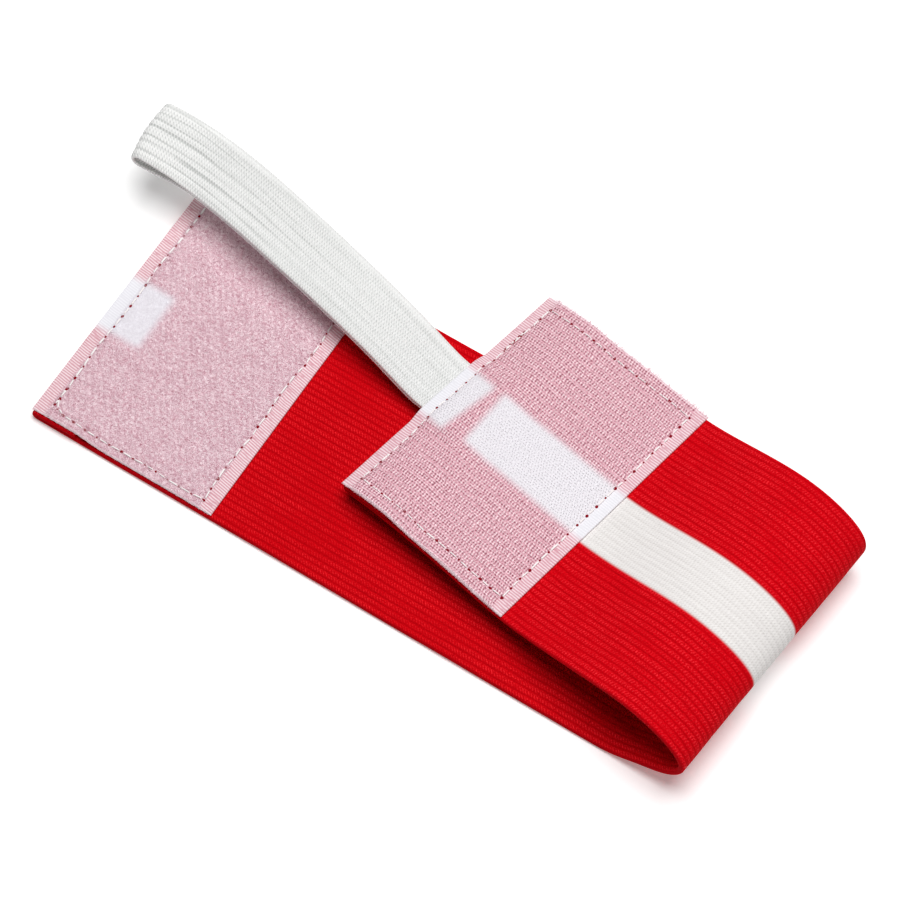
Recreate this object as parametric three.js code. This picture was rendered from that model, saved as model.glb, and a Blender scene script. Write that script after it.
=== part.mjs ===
// Captain armband lying on a table, folded back over itself once.
// Millimetres, Z up. The lower run lies along +X, the fold is at its +X end, and z = 0 is the table.
// "along" is measured on the cloth from the lower end, "across" from its middle line.
import * as THREE from "three";

// Wide woven elastic band
const bandWidth = 70;
const bandThickness = 1.5;
const bandLength = 291;
const lowerHemLength = 12.4; // both ends are folded over once and sewn down
const upperHemLength = 14.3;
const hemThickness = 3; // two layers of the band
const hemStep = 1.2; // length over which the hem's cut edge steps down

// How the band lies: a flat run, then the fold and the upper run, skewed a little to the far side
const flatRun = 156.3;
const foldedRun = 128;
const foldSkew = 5.56; // degrees
// share of the folded run, direction of the cloth in degrees, sideways tilt in degrees
const foldCourse = [
  { share: 0.0, heading: 0, tilt: 0 },
  { share: 0.06, heading: 19, tilt: -0.7 },
  { share: 0.12, heading: 21, tilt: -1.6 },
  { share: 0.18, heading: 58, tilt: -1.9 },
  { share: 0.25, heading: 141, tilt: -1.2 },
  { share: 0.34, heading: 180, tilt: -1.1 },
  { share: 0.45, heading: 201, tilt: -1.1 },
  { share: 0.58, heading: 200, tilt: -1.9 },
  { share: 0.74, heading: 180, tilt: -1.8 },
  { share: 1.0, heading: 193, tilt: -4.7 },
];

// Fastening tape patches, each sewn on over a hem
const tapeWidth = 50;
const tapeInset = 0.4; // from the band's end to the tape's edge
const loopTapeLength = 68.8;
const loopTapeThickness = 1.2;
const hookTapeLength = 69.6;
const hookTapeThickness = 1.3;
const tapeDrop = 4.5; // length over which a patch comes down off the hem
const layerGap = 0.3; // clearance between sewn layers

// Narrow knitted elastic, doubled into a loop with both tails under the hook patch
const elasticWidth = 16.4;
const elasticThickness = 0.9;
const elasticLength = 93.5; // upper layer, from the hook patch's edge to the turn
const elasticOffset = 0.5; // from the band's middle line, at the hook patch's edge
const elasticRise = 12; // height that the upper layer gains from the patch to the turn
const tailLength = 9;
const tailThickness = 0.7; // one layer, squeezed by the stitches
const tailSlit = 0.1; // between the two layers where they are sewn together
const tailPress = 0.7; // depth by which the tails press into the hem
const pressDrop = 2; // length over which the pressed hollow comes back up
const tailSwell = 6; // length over which a layer swells back to its full thickness
const turnRadius = 2.1; // middle of the elastic, at the turn
const turnOpening = 17; // length over which the two layers part before the turn
const turnReach = 2.5; // length next to the turn where they are fully parted
const turnBulge = 0.9; // how far the middle of the turn stands out from its corners
const bulgeRun = 8; // length over which the bulge builds up
const humpDrop = 5; // length over which the hook patch comes down off the tails
// share of the length, plan direction in degrees, share of the rise, roll in degrees
const elasticCourse = [
  { share: 0.0, heading: 166.9, rise: 0.0, roll: -3.4 },
  { share: 0.05, heading: 166.8, rise: -0.01, roll: -3.0 },
  { share: 0.2, heading: 167.2, rise: 0.25, roll: -1.7 },
  { share: 0.4, heading: 168.0, rise: 0.46, roll: 0.3 },
  { share: 0.6, heading: 169.1, rise: 0.62, roll: 2.5 },
  { share: 0.8, heading: 174.1, rise: 0.805, roll: 5.2 },
  { share: 0.92, heading: 179.5, rise: 0.93, roll: 3.6 },
  { share: 1.0, heading: 183.9, rise: 1.0, roll: 1.2 },
];

// Steps of the faceted surfaces
const courseSpacing = 0.5;
const flatSpacing = 24;
const foldSpacing = 2.3;
const upperSpacing = 5;
const crossSpacing = 8;
const dropSpacing = 1;
const humpSpacing = 4;
const patchSpacing = 10;
const patchCrossSpacing = 14;
const elasticSpacing = 3.6;
const turnSteps = 10;

const degree = Math.PI / 180;

function smoothValue(rows, column, at) {
  const last = rows.length - 1;
  let k = 0;
  while (k < last - 1 && at > rows[k + 1].share) k += 1;
  const slopeAt = (i) => {
    const before = rows[Math.max(i - 1, 0)];
    const after = rows[Math.min(i + 1, last)];
    return (after[column] - before[column]) / (after.share - before.share);
  };
  const span = rows[k + 1].share - rows[k].share;
  const t = Math.min(Math.max((at - rows[k].share) / span, 0), 1);
  const startSlope = k === 0 && rows[0][column] === 0 ? 0 : slopeAt(k);
  const t2 = t * t;
  const t3 = t2 * t;
  return (
    rows[k][column] * (2 * t3 - 3 * t2 + 1) +
    startSlope * span * (t3 - 2 * t2 + t) +
    rows[k + 1][column] * (3 * t2 - 2 * t3) +
    slopeAt(k + 1) * span * (t3 - t2)
  );
}

function ramp(value, start, end) {
  const t = Math.min(Math.max((value - start) / (end - start), 0), 1);
  return t * t * (3 - 2 * t);
}

// The band's course seen from the side, worked out once in short steps
function followCourse() {
  const course = [];
  let reach = 0;
  let height = 0;
  let direction = 0;
  const total = flatRun + foldedRun + bandWidth;
  for (let run = 0; run <= total; run += courseSpacing) {
    const share = Math.max((run - flatRun) / foldedRun, 0);
    const next = smoothValue(foldCourse, "heading", share) * degree;
    if (run > 0) {
      reach += Math.cos((direction + next) / 2) * courseSpacing;
      height += Math.sin((direction + next) / 2) * courseSpacing;
    }
    direction = next;
    const tilt = smoothValue(foldCourse, "tilt", share) * degree;
    course.push({ reach, height, direction, tilt });
  }
  return course;
}

const bandCourse = followCourse();

function courseAt(run) {
  if (run <= 0) return { reach: run, height: 0, direction: 0, tilt: 0 };
  const place = Math.min(run / courseSpacing, bandCourse.length - 1.001);
  const a = bandCourse[Math.floor(place)];
  const b = bandCourse[Math.floor(place) + 1];
  const t = place - Math.floor(place);
  const mix = (name) => a[name] + (b[name] - a[name]) * t;
  return { reach: mix("reach"), height: mix("height"), direction: mix("direction"), tilt: mix("tilt") };
}

// A point of the band: lift is positive towards the inside of the fold, 0 in the middle of the cloth
function bandPoint(along, across, lift) {
  const c = Math.cos(foldSkew * degree);
  const s = Math.sin(foldSkew * degree);
  const course = courseAt(along * c - across * s);
  const side = along * s + across * c;
  const reach = course.reach - Math.sin(course.direction) * lift;
  const height = course.height + Math.cos(course.direction) * lift;
  const rise = bandThickness / 2 + Math.tan(course.tilt) * across;
  return new THREE.Vector3(reach * c + side * s, side * c - reach * s, height + rise);
}

// Fullness of a sheet close to its edge, so that every edge is rounded
function fullness(distance, halfThickness) {
  const t = Math.min(Math.max(distance / halfThickness, 0), 1);
  return 0.4 + 0.6 * Math.sqrt(1 - (1 - t) * (1 - t));
}

function edgeStations(start, end, halfThickness, inner) {
  const inset = [0, 0.3 * halfThickness, halfThickness];
  const near = inset.map((d) => start + d);
  const far = inset.map((d) => end - d).reverse();
  const first = near[2] + halfThickness / 2;
  const last = far[0] - halfThickness / 2;
  return [...near, ...inner.filter((v) => v > first && v < last), ...far];
}

function spread(start, end, spacing) {
  const count = Math.max(Math.ceil((end - start) / spacing), 1);
  return Array.from({ length: count + 1 }, (_, i) => start + ((end - start) * i) / count);
}

// A closed solid between two skins laid over a grid of stations
function sheetSolid(rows, columns, place) {
  const wide = columns.length;
  const skin = rows.length * wide;
  const positions = [];
  for (const side of [1, -1]) {
    for (const row of rows) {
      for (const column of columns) positions.push(...place(row, column, side).toArray());
    }
  }
  const index = [];
  const quad = (a, b, c, d) => index.push(a, b, c, a, c, d);
  for (let i = 0; i + 1 < rows.length; i += 1) {
    for (let j = 0; j + 1 < wide; j += 1) {
      const a = i * wide + j;
      quad(a, a + wide, a + wide + 1, a + 1);
      quad(skin + a, skin + a + 1, skin + a + wide + 1, skin + a + wide);
    }
    const left = i * wide;
    const right = left + wide - 1;
    quad(left, skin + left, skin + left + wide, left + wide);
    quad(right, right + wide, skin + right + wide, skin + right);
  }
  const lastRow = (rows.length - 1) * wide;
  for (let j = 0; j + 1 < wide; j += 1) {
    quad(j, j + 1, skin + j + 1, skin + j);
    quad(lastRow + j, skin + lastRow + j, skin + lastRow + j + 1, lastRow + j + 1);
  }
  if (signedVolume(positions, index) < 0) index.reverse();
  const geometry = new THREE.BufferGeometry();
  geometry.setAttribute("position", new THREE.Float32BufferAttribute(positions, 3));
  geometry.setIndex(index);
  geometry.computeVertexNormals();
  return geometry;
}

function signedVolume(positions, index) {
  const corner = (i) => new THREE.Vector3().fromArray(positions, index[i] * 3);
  let volume = 0;
  for (let i = 0; i < index.length; i += 3) {
    volume += corner(i).dot(corner(i + 1).cross(corner(i + 2))) / 6;
  }
  return volume;
}

// Extra thickness of the hems: the lower one lies on the inner face, the upper one on the outer face
const hemExtra = hemThickness - bandThickness;
const upperHemStart = bandLength - upperHemLength;
const lowerHemEdge = lowerHemLength - hemStep;

function lowerHem(along) {
  return hemExtra * (1 - ramp(along, lowerHemEdge, lowerHemLength));
}

function upperHem(along) {
  return hemExtra * ramp(along, upperHemStart, upperHemStart + hemStep);
}

// 1 over the elastic's tails, falling to 0 around them
function overTails(along, across, drop) {
  const tailEnd = bandLength - tapeInset - tailLength - layerGap;
  const beside = Math.abs(across - elasticOffset) - elasticWidth / 2 - layerGap;
  return ramp(along, tailEnd - drop, tailEnd) * (1 - ramp(beside, 0, drop));
}

function bandGeometry() {
  const halfWidth = bandWidth / 2;
  const foldStart = flatRun - halfWidth * Math.sin(foldSkew * degree) - foldSpacing;
  const foldEnd = flatRun + foldedRun * 0.5;
  const tailEnd = bandLength - tapeInset - tailLength - layerGap;
  const inner = [
    ...spread(lowerHemEdge, lowerHemLength, hemStep / 2),
    ...spread(lowerHemLength + flatSpacing / 2, foldStart, flatSpacing),
    ...spread(foldStart + foldSpacing, foldEnd, foldSpacing),
    ...spread(foldEnd + upperSpacing, upperHemStart - upperSpacing / 2, upperSpacing),
    ...spread(upperHemStart, upperHemStart + hemStep, hemStep / 2),
    ...spread(tailEnd - pressDrop, tailEnd, pressDrop / 2),
    ...spread(tailEnd + upperSpacing / 2, bandLength, upperSpacing),
  ];
  const pressed = elasticWidth / 2 + layerGap;
  const crosswise = [
    ...spread(-halfWidth, elasticOffset - pressed - pressDrop - crossSpacing / 2, crossSpacing),
    ...spread(elasticOffset - pressed - pressDrop, elasticOffset - pressed, pressDrop / 2),
    elasticOffset,
    ...spread(elasticOffset + pressed, elasticOffset + pressed + pressDrop, pressDrop / 2),
    ...spread(elasticOffset + pressed + pressDrop + crossSpacing / 2, halfWidth, crossSpacing),
  ];
  const rows = edgeStations(0, bandLength, hemThickness / 2, inner);
  const columns = edgeStations(-halfWidth, halfWidth, bandThickness / 2, crosswise);
  return sheetSolid(rows, columns, (along, across, side) => {
    const top = bandThickness / 2 + lowerHem(along);
    const bottom = tailPress * overTails(along, across, pressDrop) - bandThickness / 2 - upperHem(along);
    const endFullness = fullness(Math.min(along, bandLength - along), hemThickness / 2);
    const edgeFullness = fullness(halfWidth - Math.abs(across), bandThickness / 2);
    const half = ((top - bottom) / 2) * endFullness * edgeFullness;
    return bandPoint(along, across, (top + bottom) / 2 + side * half);
  });
}

function patchGeometry(start, length, thickness, drops, baseAt) {
  const halfLength = length / 2;
  const end = start + tapeWidth;
  const rows = edgeStations(start, end, thickness / 2, drops.along);
  const columns = edgeStations(-halfLength, halfLength, thickness / 2, drops.across);
  return sheetSolid(rows, columns, (along, across, side) => {
    const endFullness = fullness(Math.min(along - start, end - along), thickness / 2);
    const edgeFullness = fullness(halfLength - Math.abs(across), thickness / 2);
    const half = (thickness / 2) * endFullness * edgeFullness;
    return bandPoint(along, across, baseAt(along, across, thickness / 2, side * half));
  });
}

function loopPatchGeometry() {
  const dropStart = lowerHemEdge + layerGap;
  const drops = {
    along: [
      ...spread(tapeInset, dropStart, patchSpacing),
      ...spread(dropStart + dropSpacing / 2, dropStart + tapeDrop, dropSpacing),
      ...spread(dropStart + tapeDrop + patchSpacing, tapeInset + tapeWidth, patchSpacing),
    ],
    across: spread(-loopTapeLength / 2, loopTapeLength / 2, patchCrossSpacing),
  };
  return patchGeometry(tapeInset, loopTapeLength, loopTapeThickness, drops, (along, across, middle, lift) => {
    const drop = ramp(along, dropStart, dropStart + tapeDrop);
    return bandThickness / 2 + hemExtra * (1 - drop) + layerGap + middle + lift;
  });
}

// Height of the hook patch over the tails of the elastic
const tailHeight = 2 * tailThickness + tailSlit + layerGap - tailPress;

function hookPatchGeometry() {
  const start = bandLength - tapeInset - tapeWidth;
  const tailEnd = bandLength - tapeInset - tailLength - layerGap;
  const hemTop = upperHemStart + hemStep - layerGap;
  const side = elasticWidth / 2 + layerGap;
  const halfLength = hookTapeLength / 2;
  const drops = {
    along: [
      ...spread(start, hemTop - tapeDrop - dropSpacing, upperSpacing),
      ...spread(hemTop - tapeDrop, hemTop, dropSpacing),
      ...spread(tailEnd - humpDrop, tailEnd, dropSpacing),
      ...spread(tailEnd + humpSpacing, bandLength - tapeInset, humpSpacing),
    ],
    across: [
      ...spread(-halfLength, elasticOffset - side - humpDrop - dropSpacing, crossSpacing),
      ...spread(elasticOffset - side - humpDrop, elasticOffset - side, dropSpacing),
      ...spread(elasticOffset - side + humpSpacing, elasticOffset + side - humpSpacing, humpSpacing),
      ...spread(elasticOffset + side, elasticOffset + side + humpDrop, dropSpacing),
      ...spread(elasticOffset + side + humpDrop + crossSpacing / 2, halfLength, crossSpacing),
    ],
  };
  return patchGeometry(start, hookTapeLength, hookTapeThickness, drops, (along, across, middle, lift) => {
    const onHem = hemExtra * ramp(along, hemTop - tapeDrop, hemTop);
    const onTails = tailHeight * overTails(along, across, humpDrop);
    return -(bandThickness / 2 + onHem + onTails + layerGap + middle + lift);
  });
}

// The middle of the elastic's upper layer, from the tails' ends to the turn
function elasticLine() {
  const rootAlong = bandLength - tapeInset;
  const hemFace = bandThickness / 2 + hemExtra - tailPress;
  const rootLift = -(hemFace + layerGap + 1.5 * tailThickness + tailSlit);
  const root = bandPoint(rootAlong, elasticOffset, rootLift);
  const inside = bandPoint(rootAlong - tailLength, elasticOffset, rootLift);
  const tailAcross = bandPoint(rootAlong, elasticOffset + 1, rootLift).sub(root).normalize();
  const line = spread(-tailLength, 0, elasticSpacing).map((reach) => ({
    point: root.clone().lerp(inside, -reach / tailLength),
    across: tailAcross.clone(),
    thickness: tailThickness,
    apart: tailThickness + tailSlit,
    bulge: 0,
  }));
  const steps = Math.ceil(elasticLength / elasticSpacing);
  const step = elasticLength / steps;
  const point = root.clone();
  let rise = 0;
  for (let i = 1; i <= steps; i += 1) {
    const share = i / steps;
    const heading = smoothValue(elasticCourse, "heading", share - 0.5 / steps) * degree;
    const nextRise = smoothValue(elasticCourse, "rise", share) * elasticRise;
    const climb = nextRise - rise;
    const level = Math.sqrt(step * step - climb * climb);
    point.add(new THREE.Vector3(Math.cos(heading) * level, Math.sin(heading) * level, climb));
    rise = nextRise;
    const turned = smoothValue(elasticCourse, "heading", share) * degree;
    const roll = smoothValue(elasticCourse, "roll", share) * degree;
    const across = new THREE.Vector3(
      Math.sin(turned) * Math.cos(roll),
      -Math.cos(turned) * Math.cos(roll),
      Math.sin(roll),
    );
    const swell = ramp(share * elasticLength, 0, tailSwell);
    const thickness = tailThickness + (elasticThickness - tailThickness) * swell;
    const closed = thickness + tailSlit;
    const toTurn = (1 - share) * elasticLength;
    const apart = closed + (2 * turnRadius - closed) * (1 - ramp(toTurn, turnReach, turnOpening));
    const bulge = turnBulge * (1 - ramp(toTurn, 0, bulgeRun));
    line.push({ point: point.clone(), across, thickness, apart, bulge });
  }
  return line;
}

function elasticGeometry() {
  const line = elasticLine();
  const facing = (i) => {
    const before = line[Math.max(i - 1, 0)].point;
    const after = line[Math.min(i + 1, line.length - 1)].point;
    const forward = after.clone().sub(before).normalize();
    return { forward, down: forward.clone().cross(line[i].across).normalize() };
  };
  const layer = (drop) => line.map((at, i) => {
    const { forward, down } = facing(i);
    return { ...at, point: at.point.clone().addScaledVector(down, drop * at.apart), forward };
  });
  const last = line[line.length - 1];
  const { forward, down } = facing(line.length - 1);
  const turn = Array.from({ length: turnSteps - 1 }, (_, i) => {
    const angle = (Math.PI * (i + 1)) / turnSteps;
    const point = last.point
      .clone()
      .addScaledVector(down, (1 + Math.cos(angle)) * turnRadius)
      .addScaledVector(forward, Math.sin(angle) * turnRadius);
    return { ...last, point, forward };
  });
  const ribbon = [...layer(1), ...turn, ...layer(0).reverse()];
  const halfWidth = elasticWidth / 2;
  const inner = spread(-halfWidth, halfWidth, humpSpacing);
  const columns = edgeStations(-halfWidth, halfWidth, elasticThickness / 2, inner);
  const rows = ribbon.map((_, i) => i);
  return sheetSolid(rows, columns, (row, across, side) => {
    const before = ribbon[Math.max(row - 1, 0)].point;
    const after = ribbon[Math.min(row + 1, ribbon.length - 1)].point;
    const at = ribbon[row];
    const normal = after.clone().sub(before).cross(at.across).normalize();
    const edgeFullness = fullness(halfWidth - Math.abs(across), elasticThickness / 2);
    const half = (at.thickness / 2) * edgeFullness;
    const bulge = at.bulge * (1 - (across / halfWidth) ** 2);
    return at.point
      .clone()
      .addScaledVector(at.across, across)
      .addScaledVector(at.forward, bulge)
      .addScaledVector(normal, side * half);
  });
}

function piece(name, geometry, colour, roughness) {
  const material = new THREE.MeshStandardMaterial({ color: colour, roughness, metalness: 0 });
  const mesh = new THREE.Mesh(geometry, material);
  mesh.name = name;
  return mesh;
}

const group = new THREE.Group();
group.name = "captain_armband";
group.add(piece("band", bandGeometry(), 0xcf0a1e, 0.85));
group.add(piece("loop_patch", loopPatchGeometry(), 0xdcb9c3, 0.95));
group.add(piece("hook_patch", hookPatchGeometry(), 0xd9b4bd, 0.7));
group.add(piece("elastic_loop", elasticGeometry(), 0xf0f0ee, 0.85));

// The origin is on the table, under the middle of the whole armband
const extent = new THREE.Box3().setFromObject(group);
const middle = extent.getCenter(new THREE.Vector3());
for (const mesh of group.children) mesh.geometry.translate(-middle.x, -middle.y, -extent.min.z);

export default group;
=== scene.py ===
import math

import bpy
import numpy as np
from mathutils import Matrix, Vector


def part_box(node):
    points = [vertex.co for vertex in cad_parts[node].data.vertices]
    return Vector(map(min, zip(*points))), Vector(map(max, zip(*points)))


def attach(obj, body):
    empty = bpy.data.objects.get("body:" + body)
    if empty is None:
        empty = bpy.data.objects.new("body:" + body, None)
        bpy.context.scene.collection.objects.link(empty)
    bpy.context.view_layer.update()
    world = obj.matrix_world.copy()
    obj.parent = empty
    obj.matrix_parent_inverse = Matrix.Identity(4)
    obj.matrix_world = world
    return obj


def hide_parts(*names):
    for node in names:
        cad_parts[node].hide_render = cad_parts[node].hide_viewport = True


# Looks of the captain armband. Shapes are worked out in millimetres on the cloth:
# "along" from the band's lower end, "across" from its middle line, "lift" towards the inside of the fold.

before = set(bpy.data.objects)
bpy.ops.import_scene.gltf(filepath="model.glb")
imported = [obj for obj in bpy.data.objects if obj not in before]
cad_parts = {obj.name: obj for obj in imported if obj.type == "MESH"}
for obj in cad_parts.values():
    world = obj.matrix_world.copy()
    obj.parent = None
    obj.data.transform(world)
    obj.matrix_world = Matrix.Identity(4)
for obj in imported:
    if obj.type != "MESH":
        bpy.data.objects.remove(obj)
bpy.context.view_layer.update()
scene = bpy.context.scene
print("stage: frame loaded")

# The shapes below start at the middle of the band's lower end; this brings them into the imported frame
bandHalfWidth = 35
patchRest = 1.8  # height of the loop patch's underside over the table
shift = Vector((
    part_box("band")[0].x * 1000,
    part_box("band")[0].y * 1000 + bandHalfWidth,
    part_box("loop_patch")[0].z * 1000 - patchRest,
))

cameraPlace = {
    "azimuth": 32.543, "elevation": 63.293, "distance": 0.9285,
    "target": (0.08712 + shift.x / 1000, 0.010216 + shift.y / 1000, 0.0), "lens": 159.93,
}


def addCamera(place):
    azimuth, elevation = math.radians(place["azimuth"]), math.radians(place["elevation"])
    back = Vector((
        math.sin(azimuth) * math.cos(elevation),
        -math.cos(azimuth) * math.cos(elevation),
        math.sin(elevation),
    ))
    data = bpy.data.cameras.new("camera")
    data.sensor_width = 36
    data.lens = place["lens"]
    data.clip_start, data.clip_end = 0.01, 20
    camera = bpy.data.objects.new("camera", data)
    camera.rotation_mode = "QUATERNION"
    camera.location = Vector(place["target"]) + back * place["distance"]
    camera.rotation_quaternion = (-back).to_track_quat("-Z", "Y")
    scene.collection.objects.link(camera)
    scene.camera = camera


addCamera(cameraPlace)
scene.view_settings.view_transform = "Standard"
scene.view_settings.look = "None"
print("stage: camera")


# Shader sums written as plain arithmetic
class Signal:
    def __init__(self, tree, socket):
        self.tree, self.socket = tree, socket

    def sum(self, operation, *others, clamp=False):
        node = self.tree.nodes.new("ShaderNodeMath")
        node.operation, node.use_clamp = operation, clamp
        for place, value in zip(node.inputs, (self, *others)):
            feed(self.tree, place, value)
        return Signal(self.tree, node.outputs[0])

    def __add__(self, other): return self.sum("ADD", other)
    def __radd__(self, other): return self.sum("ADD", other)
    def __sub__(self, other): return self.sum("SUBTRACT", other)
    def __rsub__(self, other): return (self * -1) + other
    def __mul__(self, other): return self.sum("MULTIPLY", other)
    def __rmul__(self, other): return self.sum("MULTIPLY", other)
    def __truediv__(self, other): return self.sum("DIVIDE", other)
    def __pow__(self, other): return self.sum("POWER", other)
    def size(self): return self.sum("ABSOLUTE")
    def floor(self): return self.sum("FLOOR")
    def part(self): return self.sum("FRACT")
    def larger(self, other): return self.sum("MAXIMUM", other)
    def smaller(self, other): return self.sum("MINIMUM", other)
    def clamped(self): return self.sum("ADD", 0.0, clamp=True)
    def wave(self, pitch=1.0): return ((self * (2 * math.pi / pitch)).sum("SINE") * 0.5) + 0.5

    def ramp(self, start, end):
        node = self.tree.nodes.new("ShaderNodeMapRange")
        node.interpolation_type = "SMOOTHSTEP"
        for name, value in (("Value", self), ("From Min", start), ("From Max", end)):
            feed(self.tree, node.inputs[name], value)
        return Signal(self.tree, node.outputs["Result"])


def feed(tree, socket, value):
    if isinstance(value, Signal):
        tree.links.new(value.socket, socket)
    else:
        socket.default_value = value


def noise(x, y, scaleX, scaleY, seed=0.0, detail=2.0, roughness=0.5):
    tree = x.tree
    vector = tree.nodes.new("ShaderNodeCombineXYZ")
    feed(tree, vector.inputs[0], x * scaleX)
    feed(tree, vector.inputs[1], y * scaleY)
    vector.inputs[2].default_value = seed
    node = tree.nodes.new("ShaderNodeTexNoise")
    tree.links.new(vector.outputs[0], node.inputs["Vector"])
    node.inputs["Scale"].default_value = 1.0
    node.inputs["Detail"].default_value = detail
    node.inputs["Roughness"].default_value = roughness
    return Signal(tree, node.outputs["Fac"])


def mixed(factor, first, second):
    tree = factor.tree
    node = tree.nodes.new("ShaderNodeMix")
    node.data_type = "RGBA"
    feed(tree, node.inputs["Factor"], factor)
    feed(tree, node.inputs[6], first)
    feed(tree, node.inputs[7], second)
    return Signal(tree, node.outputs[2])


def paint(red, green, blue):
    def linear(value):
        value /= 255
        return value / 12.92 if value <= 0.04045 else ((value + 0.055) / 1.055) ** 2.4
    return (linear(red), linear(green), linear(blue), 1.0)


# Colour between a dark and a light shade, each given as red, green, blue from 0 to 255
def shaded(factor, shades):
    return mixed(factor, paint(*shades[0]), paint(*shades[1]))


# An empty node group that reads the cloth's coordinates and the named values
def newGroup(name, values, outputs):
    tree = bpy.data.node_groups.new(name, "ShaderNodeTree")
    inputs = ["Along", "Across", *values]
    for side, labels in (("INPUT", inputs), ("OUTPUT", outputs)):
        for label in labels:
            tree.interface.new_socket(label, in_out=side, socket_type="NodeSocketFloat")
    source = tree.nodes.new("NodeGroupInput").outputs
    target = tree.nodes.new("NodeGroupOutput").inputs
    return tree, {label: Signal(tree, source[label]) for label in inputs}, target


def useGroup(group, along, across, **values):
    tree = along.tree
    node = tree.nodes.new("ShaderNodeGroup")
    node.node_tree = group
    for label, value in {"Along": along, "Across": across, **values}.items():
        feed(tree, node.inputs[label], value)
    return {socket.name: Signal(tree, socket) for socket in node.outputs}


# Lengthwise ribs of the band, each with a row of short bright dashes that are painted glints; its Shade is uneven
# tone with painted shade, lighter on the rib crests
def makeRibWeave():
    tree, given, made = newGroup(
        "ribWeave", ["Rib", "Pick", "Slant", "Dash", "Uneven"], ["Height", "Shade", "Dash"])
    along, across = given["Along"], given["Across"]
    drift = (noise(along, across, 0.07, 0.35, 1.0) - 0.5) * given["Uneven"]
    place = across / given["Rib"] + drift
    crest = place.wave()
    between = (place * 2 + 0.25).wave()
    lean = (noise(along, across, 1.1, 2.2, 4.0) - 0.5) * given["Uneven"] * 2.2
    row = (place + 0.5).floor() * 0.37
    pick = (along / given["Pick"] + across * given["Slant"] + row + lean).wave()
    streak = noise(along, across, 0.16, 2.4, 2.0, detail=3.0)
    speck = noise(along, across, 2.4, 3.4, 3.0, detail=2.0)
    patch = noise(along, across, 0.06, 0.22, 3.5).ramp(0.3, 0.6) * 0.6 + 0.4
    # painted glints: short bright dashes where the rib crests catch the light
    glint = (pick ** 2) * (crest ** 1.5 + between ** 2 * 0.35) * speck.ramp(0.35, 0.62) * patch * given["Dash"]
    feed(tree, made["Height"], crest * 0.55 + pick * crest * 0.3 + speck * 0.15)
    # painted shade, lighter on the rib crests and between ribs, over a streaky uneven tone
    feed(tree, made["Shade"], (crest * 0.25 + between * 0.15 + streak * 0.6 + (speck - 0.5) * 1.2 - 0.02).clamped())
    feed(tree, made["Dash"], glint.clamped())
    return tree


# 1 inside a rectangle of the cloth with soft sides: what lies under a thin tape
def makeWindow():
    tree, given, made = newGroup("clothWindow", ["Start", "End", "Middle", "Half", "Soft"], ["Mask"])
    soft = given["Soft"]
    rise = (given["Along"] - given["Start"]) / soft
    fall = (given["End"] - given["Along"]) / soft
    side = (given["Half"] - (given["Across"] - given["Middle"]).size()) / soft
    feed(tree, made["Mask"], rise.ramp(-1.0, 1.0) * fall.ramp(-1.0, 1.0) * side.ramp(-1.0, 1.0))
    return tree


# Fine ribs at right angles to a woven edge
def makeSelvage():
    tree, given, made = newGroup("selvageRibs", ["Pitch", "Slant"], ["Height", "Shade"])
    along, across = given["Along"], given["Across"]
    drift = (noise(along, across, 0.25, 0.3, 5.0) - 0.5) * 0.8
    place = (across + along * given["Slant"]) / given["Pitch"] + drift
    crown = place.wave()
    faint = noise(along, across, 0.5, 1.6, 5.5)
    speck = noise(along, across, 3.0, 5.0, 6.0)
    feed(tree, made["Height"], crown ** 0.7)
    feed(tree, made["Shade"], (crown * faint.ramp(0.2, 0.5) * 0.8 + speck * 0.45 - 0.08).clamped())
    return tree


# Matted loops of a soft pile, with small dark gaps
def makePile():
    tree, given, made = newGroup("loopPile", [], ["Height", "Shade", "Gap"])
    along, across = given["Along"], given["Across"]
    bendAlong = (noise(along, across, 0.4, 0.4, 7.0) - 0.5) * 3.0
    bendAcross = (noise(along, across, 0.4, 0.4, 8.0) - 0.5) * 3.0
    strands = noise(along + bendAlong, across + bendAcross, 1.9, 7.5, 9.0, detail=2.0, roughness=0.65)
    crossed = noise(along + bendAcross, across + bendAlong, 7.5, 1.9, 10.0, detail=2.0, roughness=0.65)
    clumps = noise(along, across, 0.35, 0.35, 11.0, detail=2.0)
    rows = (across / 1.25 + clumps * 1.5).wave() * (along / 1.75 + across * 0.4 + clumps).wave()
    pile = strands.larger(crossed)
    grain = noise(along, across, 4.5, 4.5, 11.5)
    gaps = noise(along, across, 2.6, 2.6, 11.8, detail=1.0)
    feed(tree, made["Height"], pile * 0.7 + clumps * 0.2 + grain * 0.1)
    shade = (pile - 0.5) * 3.4 + (clumps - 0.5) * 0.5 + (grain - 0.5) * 2.2 + rows * 0.3 + 0.22
    feed(tree, made["Shade"], shade.clamped())
    feed(tree, made["Gap"], gaps.ramp(0.37, 0.27) + grain.ramp(0.36, 0.26) * 0.6)
    return tree


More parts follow.
